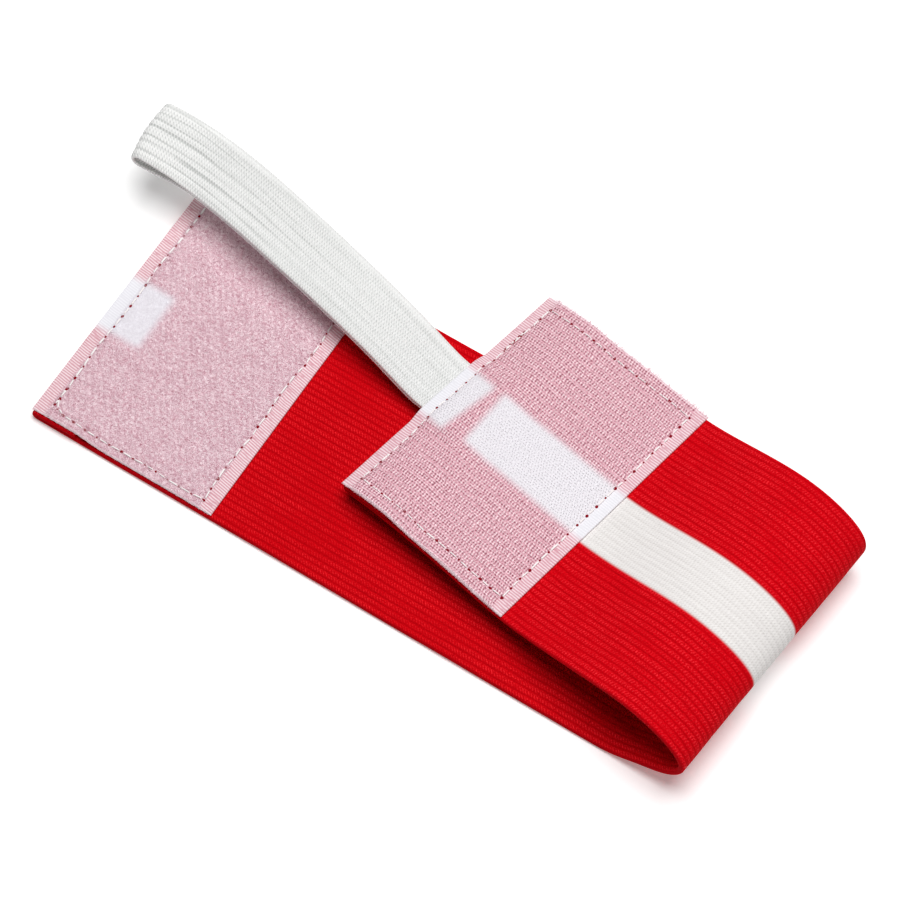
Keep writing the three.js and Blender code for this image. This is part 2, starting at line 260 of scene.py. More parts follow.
# Woven ground under the hooks: rows of dashes with dark needle gaps between them, and the hook tips, which get
# painted highlights
def makeHookGrid():
    tree, given, made = newGroup("hookGrid", [], ["Height", "Gap", "TipGlint"])
    along, across = given["Along"], given["Across"]
    wobbleAlong = (noise(along, across, 0.12, 0.12, 12.0) - 0.5) * 1.2
    wobbleAcross = (noise(along, across, 0.10, 0.10, 13.0) - 0.5) * 0.9
    u, v = along + wobbleAlong, across + wobbleAcross
    rows = (v / 0.64).wave()
    wide = (v / 1.28 + 0.1).wave()
    right = (u * 1.33 + v * 0.19).wave()
    left = (u * 1.31 - v * 0.39).wave()
    slow = (u * 0.67 + v * 0.05).wave()
    vary = noise(along, across, 1.1, 1.1, 14.0, detail=1.0)
    pit = ((u / 1.5 + (v / 1.28).floor() * 0.5).wave() * (v / 1.28 + 0.25).wave()).ramp(0.55, 0.9)
    weave = rows * 0.85 + wide * 0.25 + right * 0.75 + left * 0.75 + slow * 0.2 + (vary - 0.5) * 1.5 - pit * 0.6
    feed(tree, made["Height"], weave * 0.35)
    feed(tree, made["Gap"], weave.ramp(1.15, 0.4))
    feed(tree, made["TipGlint"], weave.ramp(1.4, 2.2))
    return tree


# Tiny knitted loops: short slanting dashes on staggered lengthwise rows, with painted shade in the hollows between
# loops and between rows over an uneven tone
def makeKnit():
    tree, given, made = newGroup("knitRows", ["Row", "Loop"], ["Height", "Shade"])
    along, across = given["Along"], given["Across"]
    place = across / given["Row"] + (noise(along, across, 0.07, 0.2, 15.0) - 0.5) * 0.5
    odd = (place * 0.5).part().ramp(0.48, 0.52)
    wander = (noise(along, across, 0.25, 0.5, 15.5) - 0.5) * 0.6
    loop = (along / given["Loop"] + odd * 0.5 + across * 0.5 + wander).wave()
    row = (place * math.pi).sum("SINE").size()
    vary = noise(along, across, 1.0, 1.6, 16.0)
    # painted shade in the hollows between the knitted loops
    dark = ((1 - loop) ** 1.6) * row.ramp(0.0, 0.9) * vary.ramp(0.15, 0.6)
    streak = noise(along, across, 0.03, 0.55, 16.5, detail=1.0)
    feed(tree, made["Height"], loop * row)
    uneven = (vary - 0.5) * 0.35 + (streak - 0.5) * 0.35
    feed(tree, made["Shade"], (1 - dark * 0.75 - (1 - row) * 0.2 + uneven).clamped())
    return tree


ribWeave, clothWindow, selvageRibs = makeRibWeave(), makeWindow(), makeSelvage()
loopPile, hookGrid, knitRows = makePile(), makeHookGrid(), makeKnit()
print("stage: shared textures")


# A material that reads the cloth's own coordinates
def clothMaterial(name, roughness, specular, **uniform):
    material = bpy.data.materials.new(name)
    material.use_nodes = True
    tree = material.node_tree
    shader = tree.nodes["Principled BSDF"]
    for label, value in {"Roughness": roughness, "Specular_IOR_Level": specular, **uniform}.items():
        shader.inputs[label.replace("_", " ")].default_value = value
    uv = tree.nodes.new("ShaderNodeUVMap")
    uv.uv_map = "clothMap"
    split = tree.nodes.new("ShaderNodeSeparateXYZ")
    tree.links.new(uv.outputs[0], split.inputs[0])
    return material, tree, shader, Signal(tree, split.outputs[0]), Signal(tree, split.outputs[1])


# Colour and relief of a material
def dress(tree, shader, colour, height, distance):
    tree.links.new(colour.socket, shader.inputs["Base Color"])
    bump = tree.nodes.new("ShaderNodeBump")
    bump.inputs["Strength"].default_value = 1.0
    bump.inputs["Distance"].default_value = distance
    feed(tree, bump.inputs["Height"], height)
    tree.links.new(bump.outputs[0], shader.inputs["Normal"])


# Smooth step from 0 at start to 1 at end
def ramp(value, start, end):
    t = np.clip((value - start) / (end - start), 0, 1)
    return t * t * (3 - 2 * t)


# Smooth curve through one column of a course; the first column is the share of the way
def smoothValue(rows, column, at):
    at = np.asarray(at, float)
    share = np.array([row[0] for row in rows])
    value = np.array([row[column] for row in rows])
    last = len(rows) - 1
    ends = [(max(i - 1, 0), min(i + 1, last)) for i in range(last + 1)]
    slope = np.array([(value[b] - value[a]) / (share[b] - share[a]) for a, b in ends])
    if value[0] == 0:
        slope[0] = 0
    k = np.clip(np.searchsorted(share, at, side="left") - 1, 0, last - 1)
    span = share[k + 1] - share[k]
    t = np.clip((at - share[k]) / span, 0, 1)
    t2, t3 = t * t, t * t * t
    return (
        value[k] * (2 * t3 - 3 * t2 + 1) + slope[k] * span * (t3 - 2 * t2 + t)
        + value[k + 1] * (3 * t2 - 2 * t3) + slope[k + 1] * span * (t3 - t2)
    )


band = {
    "width": 70, "thickness": 1.5, "length": 291,
    "lowerHem": 12.4, "upperHem": 14.3, "hemExtra": 1.5, "hemStep": 1.2, "tuck": 1.05,
    "flatRun": 156.3, "foldedRun": 128, "skew": math.radians(5.56),
    # share of the folded run, direction of the cloth, sideways tilt
    "course": [
        (0.0, 0, 0), (0.06, 19, -0.7), (0.12, 21, -1.6), (0.18, 58, -1.9), (0.25, 141, -1.2),
        (0.34, 180, -1.1), (0.45, 201, -1.1), (0.58, 200, -1.9), (0.74, 180, -1.8), (1.0, 193, -4.7),
    ],
    "stripeMiddle": -0.64, "stripeHalf": 7.84,
    "pressed": 0.467,  # share by which the elastic's tails press the upper hem flat
    "rib": 1.57, "pick": 0.757,
    # red in painted shade between ribs, red of the painted-lit rib crests, pink-red of the painted glints
    "outerReds": [(166, 0, 8), (228, 0, 18), (255, 52, 62)],
    "innerReds": [(160, 0, 8), (216, 0, 14), (246, 40, 48)],
    # the edge red is painted shade along the band's edges; the stripe whites are its white in painted shade and lit
    "edgeShadeRed": (120, 0, 16), "stripeWhites": [(196, 190, 187), (247, 244, 242)],
}


# Side view of the band: reach, height and direction along its run, and its sideways tilt
def followCourse():
    step = 0.5
    run = np.arange(0, band["flatRun"] + band["foldedRun"] + band["width"], step)
    share = np.maximum((run - band["flatRun"]) / band["foldedRun"], 0)
    direction = np.radians(smoothValue(band["course"], 1, share))
    middle = (direction[1:] + direction[:-1]) / 2
    reach = np.concatenate([[0], np.cumsum(np.cos(middle) * step)])
    height = np.concatenate([[0], np.cumsum(np.sin(middle) * step)])
    tilt = np.radians(smoothValue(band["course"], 2, share))
    return run, reach, height, direction, tilt


courseRun, courseReach, courseHeight, courseDirection, courseTilt = followCourse()


# A place on the cloth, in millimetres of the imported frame
def bandPoint(along, across, lift):
    along, across, lift = np.broadcast_arrays(*(np.asarray(v, float) for v in (along, across, lift)))
    c, s = math.cos(band["skew"]), math.sin(band["skew"])
    run = along * c - across * s
    reach = np.where(run < 0, run, np.interp(run, courseRun, courseReach))
    height = np.interp(run, courseRun, courseHeight)
    direction = np.interp(run, courseRun, courseDirection)
    tilt = np.interp(run, courseRun, courseTilt)
    side = along * s + across * c
    reach = reach - np.sin(direction) * lift
    height = height + np.cos(direction) * lift
    rise = band["thickness"] / 2 + np.tan(tilt) * across
    point = np.stack([reach * c + side * s, side * c - reach * s, height + rise], -1)
    return point + np.array(shift)


def unit(vectors):
    return vectors / np.linalg.norm(vectors, axis=-1, keepdims=True)


# Share of the thickness left near a rounded edge
def fullness(distance, half):
    t = np.clip(distance / half, 0, 1)
    return 0.25 + 0.75 * np.sqrt(1 - (1 - t) ** 2)


# Grid lines over a sheet, closer together at its two rounded edges
def stations(start, end, spacing, half):
    edge = half * np.array([0, 0.12, 0.35, 0.7, 1.1])
    count = max(int(math.ceil((end - start - 2.4 * half) / spacing)), 1)
    return np.concatenate([
        start + edge, np.linspace(start + 1.1 * half, end - 1.1 * half, count + 1)[1:-1], (end - edge)[::-1]
    ])


# A closed sheet: two skins over a grid of stations, with the cloth's coordinates as its map
def sheetMesh(name, rows, columns, place, materials, mapAt=None):
    r, c = np.meshgrid(rows, columns, indexing="ij")
    n, m = r.shape
    skins = [place(r, c, side).reshape(-1, 3) for side in (1, -1)]
    vertices = np.concatenate(skins) / 1000
    u, v = mapAt(r, c) if mapAt else (r, c)
    flat = np.tile(np.stack([u, v], -1).reshape(-1, 2), (2, 1))
    index = np.arange(n * m).reshape(n, m)
    a, b, d, e = index[:-1, :-1], index[1:, :-1], index[1:, 1:], index[:-1, 1:]
    top = np.stack([a, b, d, e], -1).reshape(-1, 4)
    faces = [top, top[:, ::-1] + n * m]
    rim = np.concatenate([index[0, :-1], index[:-1, -1], index[-1, :0:-1], index[:0:-1, 0]])
    after = np.roll(rim, -1)
    faces.append(np.stack([rim, after, after + n * m, rim + n * m], -1))
    kinds = np.concatenate([np.full(len(f), k) for k, f in enumerate(faces)])
    return makeMesh(name, vertices, np.concatenate(faces), materials, np.minimum(kinds, len(materials) - 1), flat)


# A mesh of four-sided faces that look outwards
def makeMesh(name, vertices, faces, materials, kinds, flat):
    volume = 0
    for corners in ([0, 1, 2], [0, 2, 3]):
        a, b, c = (vertices[faces[:, corner]] for corner in corners)
        volume += np.einsum("ij,ij->i", a, np.cross(b, c)).sum()
    if volume < 0:
        faces = faces[:, ::-1]
    mesh = bpy.data.meshes.new(name)
    mesh.from_pydata(vertices.tolist(), [], faces.tolist())
    mesh.polygons.foreach_set("use_smooth", np.ones(len(faces), bool))
    mesh.polygons.foreach_set("material_index", np.asarray(kinds, np.int32))
    for material in materials:
        mesh.materials.append(material)
    layer = mesh.uv_layers.new(name="clothMap")
    layer.data.foreach_set("uv", flat[faces.ravel()].astype(np.float32).ravel())
    mesh.update()
    piece = bpy.data.objects.new(name, mesh)
    scene.collection.objects.link(piece)
    return piece


def keep(piece, slot, *nodes):
    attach(piece, "root")
    if nodes:
        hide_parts(*nodes)
    return piece


# Slow, shallow unevenness of hand-laid cloth
def unevenness(along, across):
    return (
        0.06 * np.sin(along / 7.3 + across / 19) * np.sin(across / 6.1 + 1.3)
        + 0.05 * np.sin(along / 4.1 - across / 11 + 2.0) + 0.11
    ) * ramp(along, 20, 60)


hook = {
    "start": 240.6, "end": 290.6, "length": 69.6, "thickness": 1.3, "edgeThickness": 0.7, "drop": 9, "hump": 5,
    "tailLength": 9, "tailThickness": 0.7, "tailSlit": 0.1, "tailPress": 0.7,
    "seam": (243.8, 287.4, -31.3, 32.2), "backStitch": (17.2, 23.8), "fray": 0.9, "sway": 0.05,
    "farExtra": 0.6, "ribPitch": 0.64, "ribSlant": 0.0, "windowSoft": 1.3, "windowLean": 0.1,
    "stripeSpan": (200.0, 277.8), "tailSpan": (281.5, 300.0), "tailMiddle": -0.6, "tailHalf": 8.35,
    # hook ground and bare: pink and window white, each rising to a painted highlight on the hook tips
    "ground": [(220, 168, 180), (250, 224, 229)], "gaps": (140, 66, 84),
    "bare": [(228, 224, 229), (235, 232, 236)], "bareGaps": (206, 196, 202),
    "ribs": [(206, 140, 154), (246, 224, 229)],
}
loop = {
    "start": 0.4, "end": 50.4, "length": 68.8, "thickness": 1.2, "edgeThickness": 0.7, "drop": 9,
    "seam": (4.3, 46.9, -32.3, 32.2), "backStitch": (-31.0, -26.0), "fray": 0.6, "sway": 0.25,
    "farExtra": 0.0, "ribPitch": 0.63, "ribSlant": 0.16, "windowSoft": 1.5,
    "ground": [(192, 142, 157), (248, 226, 232)], "gaps": (150, 76, 96),
    "bare": [(218, 213, 220), (234, 230, 236)],
    "ribs": [(206, 138, 152), (247, 228, 232)],
}
elastic = {
    "width": 16.4, "thickness": 0.9, "length": 93.5, "offset": 0.5, "rise": 12, "turnRadius": 2.1,
    "turnOpening": 17, "turnReach": 2.5, "turnBulge": 0.9, "bulgeRun": 8,
    "grooves": [-5.6, -3.6, -1.6, 1.1, 3.4, 5.6], "grooveDepth": 0.2, "lowerSideways": -0.1,
    # the elastic's whites: in painted shade (knit hollows, grooves and edges), and lit
    "row": 0.83, "loop": 0.76, "whites": [(186, 188, 186), (253, 253, 251)],
    # share of the length, plan direction, share of the rise, roll
    "course": [
        (0.0, 166.9, 0.0, -3.4), (0.05, 166.8, -0.01, -3.0), (0.2, 167.2, 0.25, -1.7), (0.4, 168.0, 0.46, 0.3),
        (0.6, 169.1, 0.62, 2.5), (0.8, 174.1, 0.805, 5.2), (0.92, 179.5, 0.93, 3.6), (1.0, 183.9, 1.0, 1.2),
    ],
}
gap = 0.3  # clearance that the solids keep
seat = 0.08  # clearance that the sewn cloth shows


# 1 where the elastic's tails lie under the hook patch
def overTails(along, across, drop):
    tailEnd = hook["end"] - hook["tailLength"] - gap
    beside = np.abs(across - elastic["offset"]) - elastic["width"] / 2 - gap
    return ramp(along, tailEnd - drop, tailEnd) * (1 - ramp(beside, 0, drop))


# The cloth of the band: one strip, turned over once at each end
def bandStrip():
    half = band["thickness"] / 2
    turn = math.pi * half
    tuck = band["tuck"]  # the turned ends stay under the tapes' edges
    low, high, length = band["lowerHem"] - tuck, band["upperHem"] - tuck, band["length"] - 2 * tuck
    total = low + high + length - 4 * half + 2 * turn
    runs = np.concatenate([
        np.arange(0, low - half, 1.0), low - half + turn * np.linspace(0, 1, 9),
        np.linspace(low - half + turn, total - high + half - turn, 290)[1:-1],
        total - high + half - turn * np.linspace(1, 0, 9), np.arange(total - high + half, total, 1.0)[1:], [total],
    ])

    def course(run):
        fromLow = run - (low - half)
        fromHigh = (total - high + half) - run
        angleLow = np.clip(fromLow / turn, 0, 1) * math.pi
        angleHigh = np.clip(fromHigh / turn, 0, 1) * math.pi
        along = np.where(fromLow < 0, half - fromLow, half - half * np.sin(angleLow))
        along = np.where(fromLow > turn, half + fromLow - turn, along)
        along = np.where(fromHigh < turn, length - half + half * np.sin(angleHigh), along)
        along = np.where(fromHigh < 0, length - half + fromHigh, along)
        along = along + tuck
        lift = half + half * np.cos(angleLow)
        lift = np.where(fromHigh < turn, -half - half * np.cos(angleHigh), lift)
        lift = np.where((fromLow > turn) & (fromHigh > turn), 0, lift)
        angle = np.where(
            fromLow < turn, angleLow - math.pi, np.where(fromHigh < turn, angleHigh - math.pi, 0))
        return along, lift, angle

    def place(run, across, side):
        along, lift, angle = course(run)
        thin = half * fullness(band["width"] / 2 - np.abs(across), half)
        thin = thin * fullness(np.minimum(run, total - run), half)
        reach = along - side * thin * np.sin(angle)
        up = lift + side * thin * np.cos(angle)
        up = np.where(up < -half, -half + (up + half) * (1 - band["pressed"] * overTails(reach, across, 2)), up)
        return bandPoint(reach, across, up + unevenness(reach, across))

    columns = stations(-band["width"] / 2, band["width"] / 2, 1.0, half)
    return runs, columns, place, total


# The white stripe of the cloth between two places along it
def stripeWindow(along, across, span, soft):
    return useGroup(
        clothWindow, along, across, Start=span[0], End=span[1],
        Middle=band["stripeMiddle"], Half=band["stripeHalf"], Soft=soft,
    )["Mask"]


def bandMaterials():
    made = []
    for name, reds, slant, dashes, uneven in (
        ("wovenOuter", band["outerReds"], 0.35, 0.9, 0.6), ("wovenInner", band["innerReds"], 1.0, 1.1, 0.35),
    ):
        material, tree, shader, along, across = clothMaterial(name, 0.85, 0.03)
        weave = useGroup(
            ribWeave, along, across, Rib=band["rib"], Pick=band["pick"], Slant=slant, Dash=dashes, Uneven=uneven)
        # red between painted shade and painted-lit rib crests, with the painted glints mixed in
        colour = mixed(weave["Dash"], shaded(weave["Shade"], reds), paint(*reds[2]))
        if name == "wovenOuter":
            stripe = stripeWindow(along, across, (-5.0, 400.0), 0.45)
            # the stripe's white darkens with painted shade between ribs and in the knit hollows
            dots = useGroup(knitRows, along, across, Row=band["rib"] / 2, Loop=band["pick"])["Shade"]
            colour = mixed(stripe, colour, shaded(weave["Shade"] * 0.5 + dots * 0.5, band["stripeWhites"]))
        # painted shade: the red darkens along both edges of the band, with a wobbly border
        shadeWobble = noise(along, across, 1.4, 0.2, 19.0)
        edge = (across.size() + shadeWobble * 0.5).ramp(band["width"] / 2 - 0.35, band["width"] / 2)
        colour = mixed(edge * 0.12, colour, paint(*band["edgeShadeRed"]))
        dress(tree, shader, colour, weave["Height"], 0.00016)
        made.append(material)
    return made


outerCloth, innerCloth = bandMaterials()
bandRuns, bandColumns, bandPlace, bandTotal = bandStrip()
bandPiece = sheetMesh("band_cloth", bandRuns, bandColumns, bandPlace, [innerCloth, outerCloth, innerCloth])
keep(bandPiece, "band_cloth", "band")
bandTotal / 1000
print("stage: band")


# Thickness of a tape across its run: thin woven selvages beside the piled or hooked field
def tapeDepth(tape, along):
    inset = np.minimum(along - tape["start"], tape["end"] - along)
    return tape["edgeThickness"] + (tape["thickness"] - tape["edgeThickness"]) * ramp(inset, 1.6, 5.0)


# Lift of the loop patch at a height over its seat, and of the hook patch, which lies on the outer face
def loopLevel(along, across, depth):
    dropStart = band["lowerHem"] - band["hemStep"] + gap
    drop = ramp(along, dropStart, dropStart + loop["drop"])
    return band["thickness"] / 2 + band["hemExtra"] * (1 - drop) + seat + depth


def hookLevel(along, across, depth):
    hemTop = band["length"] - band["upperHem"] + band["hemStep"] - gap
    onHem = band["hemExtra"] * ramp(along, hemTop - hook["drop"], hemTop)
    tailHeight = 2 * hook["tailThickness"] + hook["tailSlit"] + gap - hook["tailPress"]
    onTails = tailHeight * overTails(along, across, hook["hump"])
    return -(band["thickness"] / 2 + onHem + onTails + seat + depth)


stitching = {
    "pitch": 3.25, "backPitch": 1.6, "radius": 0.19, "holeRadius": 0.34, "groove": 0.12, "reach": (0.35, 0.85),
    "loopUnder": 0.38, "hookUnder": 0.1, "seed": 5,  # how far the hidden stitches sink into the cloth
    # hole colours: the band's red seen in the needle holes, darkened with painted shade
    "thread": [(240, 228, 230), (255, 252, 250)], "hole": [(90, 4, 16), (164, 20, 40)],
}


# Hole positions of the sewn rectangle, one list for each side
def stitchLines(tape):
    left, right, near, far = tape["seam"]

    def line(a, b, pitch=stitching["pitch"]):
        count = int(round(math.dist(a, b) / pitch))
        return [np.array(a) + (np.array(b) - np.array(a)) * i / count for i in range(count + 1)]

    corners = [(left, near), (left, far), (right, far), (right, near)]
    back = [(corners[0][0] if tape is loop else right + 0.3, value) for value in tape["backStitch"]]
    lines = [line(corners[i], corners[(i + 1) % 4]) for i in range(4)]
    if tape is loop:
        lines[0][0] = lines[3][-1] = np.array(corners[0]) + (1.5, 0.8)  # this corner is cut short
    return lines + [line(*back, stitching["backPitch"])]


# Depth by which the stitches draw the tape in
def stitchPull(tape, along, across):
    left, right, near, far = tape["seam"]
    beside = np.minimum(np.abs(along - left), np.abs(along - right))
    beside = np.hypot(beside, np.maximum(np.maximum(near - across, across - far), 0))
    ahead = np.minimum(np.abs(across - near), np.abs(across - far))
    ahead = np.hypot(ahead, np.maximum(np.maximum(left - along, along - right), 0))
    return stitching["groove"] * np.exp(-(np.minimum(beside, ahead) / 0.6) ** 2)


# A tape laid over the band, drawn in along its seams
def patchSheet(name, tape, level, materials):
    near, far = -tape["length"] / 2, tape["length"] / 2 + tape["farExtra"]

    def place(along, across, side):
        depth = tapeDepth(tape, along)
        fromEdge = np.minimum(along - tape["start"], tape["end"] - along)
        full = fullness(fromEdge, 0.35) * fullness(np.minimum(across - near, far - across), 0.45)
        pull = stitchPull(tape, along, across) * (1 if side > 0 else 0)
        height = depth / 2 + side * depth / 2 * full - pull
        return bandPoint(along, across, level(along, across, height) + unevenness(along, across))

    rows = stations(tape["start"], tape["end"], 0.45, 0.6)
    columns = stations(near, far, 0.45, 0.6)
    return sheetMesh(name, rows, columns, place, materials)


# What shows through the loop tape: the white stripe of the turned hem below it
def loopWindow(along, across, soft):
    return stripeWindow(along, across, (-3.0, band["lowerHem"]), soft)


# What shows through the hook tape: the stripe up to the hem, and the elastic's white tails
def hookWindow(along, across, soft):
    lean = hook["windowLean"]
    stripe = stripeWindow(along - across * lean, across, hook["stripeSpan"], soft)
    tails = useGroup(
        clothWindow, along + across * lean, across + (hook["end"] - along) * lean,
        Start=hook["tailSpan"][0], End=hook["tailSpan"][1],
        Middle=hook["tailMiddle"], Half=hook["tailHalf"], Soft=soft,
    )["Mask"]
    return stripe.larger(tails)


# Four-sided faces of tubes, from vertex numbers in rings along each tube
def ringFaces(index):
    after = np.roll(index, -1, axis=-1)
    sides = [index[..., :-1, :], after[..., :-1, :], after[..., 1:, :], index[..., 1:, :]]
    return np.stack(sides, -1).reshape(-1, 4)


# Thin fibres from rows of points: one row of (along, across, lift) for each fibre
def fibreMesh(name, rows, radius, material, slot, taper=(1.0, 0.35)):
    line = bandPoint(rows[..., 0], rows[..., 1], rows[..., 2])
    tangent = unit(np.gradient(line, axis=1))
    up = bandPoint(rows[..., 0], rows[..., 1], rows[..., 2] + 0.1) - line
    side = unit(np.cross(tangent, up + tangent[..., ::-1] * 0.01))
    normal = np.cross(side, tangent)
    count, steps = rows.shape[:2]
    thick = radius * np.linspace(*taper, steps)[None, :, None, None]
    angles = np.radians([90, 210, 330])[None, None, :, None]
    ring = line[:, :, None] + thick * (np.cos(angles) * side[:, :, None] + np.sin(angles) * normal[:, :, None])
    faces = ringFaces(np.arange(count * steps * 3).reshape(count, steps, 3))
    flat = np.repeat(rows[..., :2].reshape(-1, 2), 3, axis=0)
    piece = makeMesh(name, ring.reshape(-1, 3) / 1000, faces, [material], np.zeros(len(faces)), flat)
    return keep(piece, slot)


# Soft strands that stick out of a tape's two cut edges
def cutFringe(tape, level, random, count):
    share = np.linspace(0, 1, 4)[None]
    end = np.where(np.arange(count) % 2 == 0, 1, -1)[:, None]
    along = random.uniform(tape["start"] + 0.3, tape["end"] - 0.3, (count, 1))
    reach = random.uniform(0.0, 1.0, (count, 1)) * np.where(end > 0, tape["fray"], 0.25)
    drift = random.normal(0, 0.25, (count, 1))
    acrossRow = end * (tape["length"] / 2 - 0.5 + (0.5 + reach) * share) + (end + 1) / 2 * tape["farExtra"]
    alongRow = np.clip(along + drift * share ** 2, tape["start"], tape["end"])
    depth = tapeDepth(tape, alongRow) * random.uniform(0.3, 1.0, (count, 1))
    lift = level(alongRow, np.clip(acrossRow, -tape["length"] / 2, tape["length"] / 2), depth)
    return np.stack([alongRow, acrossRow, lift], -1)


tapeLook = {
    "cutEdgeFibresAndGlint": (244, 222, 228),  # whiter cut edges: loose white fibres, and a painted highlight where the edges catch the light
    "bareRibs": [(226, 224, 230), (240, 239, 244)],
}


def loopMaterial():
    material, tree, shader, along, across = clothMaterial("loopTape", 0.95, 0.1)
    inset = (along - loop["start"]).smaller(loop["end"] - along)
    onPile = inset.ramp(2.9, 3.7)
    field = useGroup(loopPile, along, across)
    ribs = useGroup(selvageRibs, along, across, Pitch=loop["ribPitch"], Slant=loop["ribSlant"])
    white = loopWindow(along, across, loop["windowSoft"])
    pink = mixed(field["Gap"].clamped() * 0.7, shaded(field["Shade"], loop["ground"]), paint(*loop["gaps"]))
    selvage = mixed(white, shaded(ribs["Shade"], loop["ribs"]), shaded(ribs["Shade"], tapeLook["bareRibs"]))
    colour = mixed(onPile, selvage, mixed(white, pink, shaded(field["Shade"], loop["bare"])))
    # the cut edges turn whiter: loose white fibres, and a painted highlight where the edge catches the light
    end = across.size().ramp(loop["length"] / 2 - 0.5, loop["length"] / 2 - 0.1)
    colour = mixed(end * 0.7, colour, paint(*tapeLook["cutEdgeFibresAndGlint"]))
    height = ribs["Height"] * 0.3 * (1 - onPile) * (1 - white * 0.8) + field["Height"] * onPile * (1 - white * 0.5)
    dress(tree, shader, colour, height, 0.00022)
    return material


def hookMaterial():
    material, tree, shader, along, across = clothMaterial("hookTape", 0.75, 0.15)
    inset = (along - hook["start"]).smaller(hook["end"] - along)
    onHooks = inset.ramp(2.9, 3.5)
    field = useGroup(hookGrid, along, across)
    ribs = useGroup(selvageRibs, along, across, Pitch=hook["ribPitch"], Slant=hook["ribSlant"])
    white = hookWindow(along, across, hook["windowSoft"])
    # painted highlights: the hook tips turn towards the lighter colour
    pink = mixed(field["Gap"] * 0.85, shaded(field["TipGlint"], hook["ground"]), paint(*hook["gaps"]))
    bare = mixed(field["Gap"] * 0.12, shaded(field["TipGlint"], hook["bare"]), paint(*hook["bareGaps"]))
    selvage = mixed(white, shaded(ribs["Shade"], hook["ribs"]), shaded(ribs["Shade"], tapeLook["bareRibs"]))
    colour = mixed(onHooks, selvage, mixed(white, pink, bare))
    # the cut edges turn whiter: loose white fibres, and a painted highlight where the edge catches the light
    end = (across - hook["farExtra"] / 2).size().ramp(hook["length"] / 2 - 0.5, hook["length"] / 2 + 0.2)
    colour = mixed(end * 0.8, colour, paint(*tapeLook["cutEdgeFibresAndGlint"]))
    height = (ribs["Height"] * 0.4 * (1 - onHooks) + field["Height"] * onHooks) * (1 - white * 0.85)
    dress(tree, shader, colour, height, 0.00016)
    return material


loopPiece = patchSheet("loop_tape", loop, loopLevel, [loopMaterial()])
keep(loopPiece, "loop_tape", "loop_patch")
hookPiece = patchSheet("hook_tape", hook, hookLevel, [hookMaterial()])
keep(hookPiece, "hook_tape", "hook_patch")
print("stage: patches")

# Colours of the strands: dark, light, and over a white window
pile = {
    "count": 7600, "length": (0.8, 2.0), "height": 0.13, "radius": 0.045, "fringe": 420, "seed": 11,
    "colours": [(216, 164, 178), (253, 240, 243), (242, 240, 246)],
}
hooks = {
    "alongPitch": 0.75, "acrossPitch": 0.64, "height": 0.4, "reach": 0.3, "radius": 0.07, "fringe": 800, "seed": 12,
    "colours": [(216, 162, 176), (252, 230, 235), (236, 233, 238)],
}
fringe = {"radius": 0.06, "seed": 13}


def strandMaterial(name, window, colours):
    material, tree, shader, along, across = clothMaterial(name, 0.7, 0.2)
    tone = noise(along, across, 0.9, 0.9, 21.0, detail=3.0).ramp(0.35, 0.65)
    colour = mixed(window(along, across, 1.2), shaded(tone, colours), paint(*colours[2]))
    dress(tree, shader, colour, noise(along, across, 6.0, 6.0, 22.0), 0.00002)
    return material


# Soft pile: curled loops that lie over each other
def pileStrands():
    random = np.random.default_rng(pile["seed"])
    count = pile["count"]
    share = np.linspace(0, 1, 5)[None]
    startAlong = random.uniform(loop["start"] + 3.2, loop["end"] - 3.2, (count, 1))
    startAcross = random.uniform(-loop["length"] / 2 + 0.2, loop["length"] / 2 - 0.2, (count, 1))
    heading = random.uniform(0, 2 * math.pi, (count, 1)) + random.normal(0, 1.3, (count, 1)) * share
    step = random.uniform(*pile["length"], (count, 1)) / 4
    along = startAlong + np.cumsum(np.cos(heading) * step, axis=1)
    across = startAcross + np.cumsum(np.sin(heading) * step, axis=1)
    along = np.clip(along, loop["start"] + 3.0, loop["end"] - 3.0)
    across = np.clip(across, -loop["length"] / 2 - 0.3, loop["length"] / 2 + 0.3)
    inside = np.clip(across, -loop["length"] / 2, loop["length"] / 2)
    besideStripe = np.abs(startAcross - band["stripeMiddle"])
    bare = (startAlong < band["lowerHem"]) & (besideStripe < band["stripeHalf"])
    tall = pile["height"] * random.uniform(0.3, 1, (count, 1)) * np.where(bare, 0.3, 1)
    height = -0.03 + tall * np.sin(share * math.pi)
    lift = loopLevel(along, inside, tapeDepth(loop, along) + height) + unevenness(along, inside)
    return np.stack([along, across, lift], -1)


# Stiff hooks in rows, each bent over at its tip
def hookStrands():
    random = np.random.default_rng(hooks["seed"])
    along = np.arange(hook["start"] + 3.6, hook["end"] - 3.4, hooks["alongPitch"])
    across = np.arange(-hook["length"] / 2 + 0.4, hook["length"] / 2 - 0.3, hooks["acrossPitch"])
    a, c = np.meshgrid(along, across, indexing="ij")
    a = a + (np.arange(len(across)) % 2)[None] * hooks["alongPitch"] / 2
    a = (a + random.normal(0, 0.06, a.shape)).reshape(-1, 1)
    c = (c + random.normal(0, 0.05, c.shape)).reshape(-1, 1)
    turn = np.where(random.uniform(size=a.shape) < 0.5, 1, -1) * hooks["reach"]
    tall = hooks["height"] * random.uniform(0.8, 1.1, a.shape)
    height = np.array([[-0.15, 0.65, 1.0, 0.85, 0.45]]) * tall
    side = np.array([[0, 0.05, 0.4, 0.85, 1.0]]) * turn
    lift = hookLevel(a, c, tapeDepth(hook, a) + height) + unevenness(a, c)
    return np.stack([a + side, c + side * 0.25, lift], -1)


